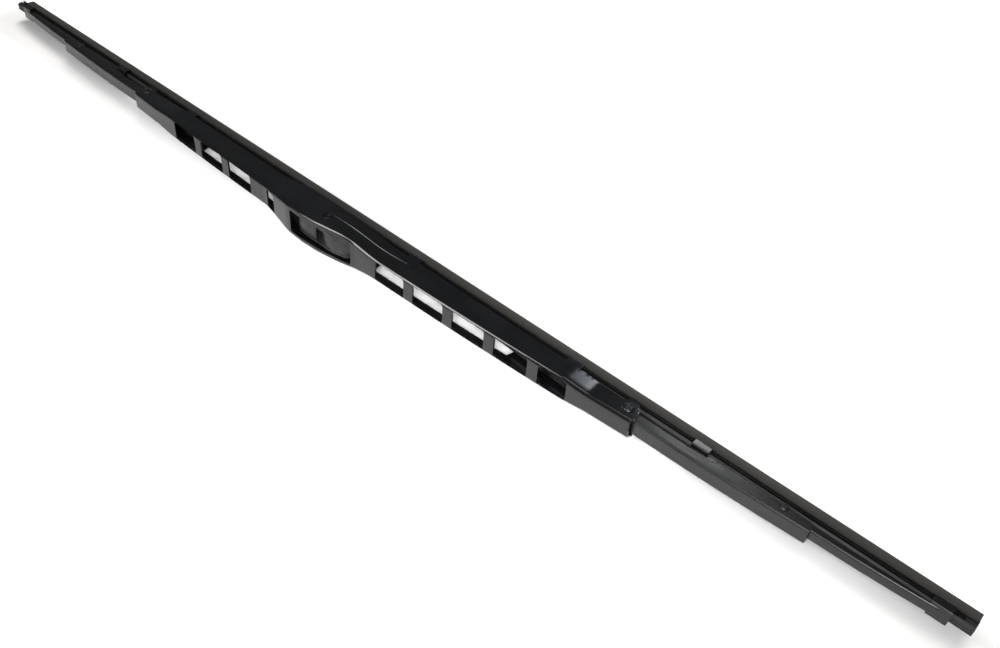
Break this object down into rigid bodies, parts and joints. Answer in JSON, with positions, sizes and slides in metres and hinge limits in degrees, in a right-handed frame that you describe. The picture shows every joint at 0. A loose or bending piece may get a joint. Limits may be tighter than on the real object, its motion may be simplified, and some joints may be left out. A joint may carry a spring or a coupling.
{
  "type": "bracket wiper blade",
  "caption": "Long slim windscreen wiper blade: a black windowed bridge over tilting levers and claws that hold a rubber strip, with a hooked-arm adapter in its centre hump.",
  "frame": {"origin": "centre of the bounding box in plan, on the plane that the blade lies on", "axes": "+X along the blade towards the end whose windows are four in a row, +Y from the back of the blade to the wiping lip, +Z across the blade, up when it lies on its side"},
  "size_m": [0.56, 0.0264, 0.017],
  "materials": {
    "bridge_paint": "gloss black paint on pressed steel",
    "lever_paint": "gloss black paint on pressed steel",
    "yoke_paint": "gloss black paint on pressed steel",
    "rivet_paint": "painted rivet, rubbed a little at the head",
    "bush_plastic": "moulded, matte",
    "pin_steel": "turned steel pin",
    "adapter_plastic": "moulded, satin",
    "wiping_rubber": "matte, extruded",
    "rail_steel": "rolled spring steel"
  },
  "bodies": {
    "bridge_frame": {"bridge": "bridge_paint", "pivot_rivet_left": "rivet_paint", "pivot_rivet_right": "rivet_paint", "pivot_bush_left_upper": "bush_plastic", "pivot_bush_left_lower": "bush_plastic", "pivot_bush_right_upper": "bush_plastic", "pivot_bush_right_lower": "bush_plastic", "arm_pin": "pin_steel", "squeegee": "wiping_rubber", "rail_upper": "rail_steel", "rail_lower": "rail_steel"},
    "adapter": {"arm_adapter": "adapter_plastic"},
    "left_lever": {"secondary_left": "lever_paint", "yoke_rivet_left_inner": "rivet_paint", "yoke_rivet_left_outer": "rivet_paint", "yoke_bush_left_inner_upper": "bush_plastic", "yoke_bush_left_inner_lower": "bush_plastic", "yoke_bush_left_outer_upper": "bush_plastic", "yoke_bush_left_outer_lower": "bush_plastic"},
    "left_inner_yoke": {"yoke_left_inner": "yoke_paint"},
    "left_outer_yoke": {"yoke_left_outer": "yoke_paint"},
    "right_lever": {"secondary_right": "lever_paint", "yoke_rivet_right_inner": "rivet_paint", "yoke_rivet_right_outer": "rivet_paint", "yoke_bush_right_inner_upper": "bush_plastic", "yoke_bush_right_inner_lower": "bush_plastic", "yoke_bush_right_outer_upper": "bush_plastic", "yoke_bush_right_outer_lower": "bush_plastic"},
    "right_inner_yoke": {"yoke_right_inner": "yoke_paint"},
    "right_outer_yoke": {"yoke_right_outer": "yoke_paint"}
  },
  "joints": [
    {"name": "adapter_pivot", "type": "hinge", "parent": "bridge_frame", "child": "adapter", "pos_m": [-0.008, -0.00555, 0.0085], "axis": [0, 0, 1], "range_deg": [-20, 20]},
    {"name": "left_lever_pivot", "type": "hinge", "parent": "bridge_frame", "child": "left_lever", "pos_m": [-0.149, -0.00005, 0.0085], "axis": [0, 0, -1], "range_deg": [-3, 3.5], "deforming": ["squeegee", "rail_upper", "rail_lower"]},
    {"name": "left_inner_yoke_pivot", "type": "hinge", "parent": "left_lever", "child": "left_inner_yoke", "pos_m": [-0.085, 0.00225, 0.0085], "axis": [0, 0, -1], "range_deg": [-3, 3], "deforming": ["squeegee", "rail_upper", "rail_lower"]},
    {"name": "left_outer_yoke_pivot", "type": "hinge", "parent": "left_lever", "child": "left_outer_yoke", "pos_m": [-0.213, 0.00225, 0.0085], "axis": [0, 0, -1], "range_deg": [-3, 3], "deforming": ["squeegee", "rail_upper", "rail_lower"]},
    {"name": "right_lever_pivot", "type": "hinge", "parent": "bridge_frame", "child": "right_lever", "pos_m": [0.149, -0.00005, 0.0085], "axis": [0, 0, 1], "range_deg": [-3, 3.5], "deforming": ["squeegee", "rail_upper", "rail_lower"]},
    {"name": "right_inner_yoke_pivot", "type": "hinge", "parent": "right_lever", "child": "right_inner_yoke", "pos_m": [0.085, 0.00225, 0.0085], "axis": [0, 0, 1], "range_deg": [-3, 3], "deforming": ["squeegee", "rail_upper", "rail_lower"]},
    {"name": "right_outer_yoke_pivot", "type": "hinge", "parent": "right_lever", "child": "right_outer_yoke", "pos_m": [0.213, 0.00225, 0.0085], "axis": [0, 0, 1], "range_deg": [-3, 3], "deforming": ["squeegee", "rail_upper", "rail_lower"]}
  ]
}
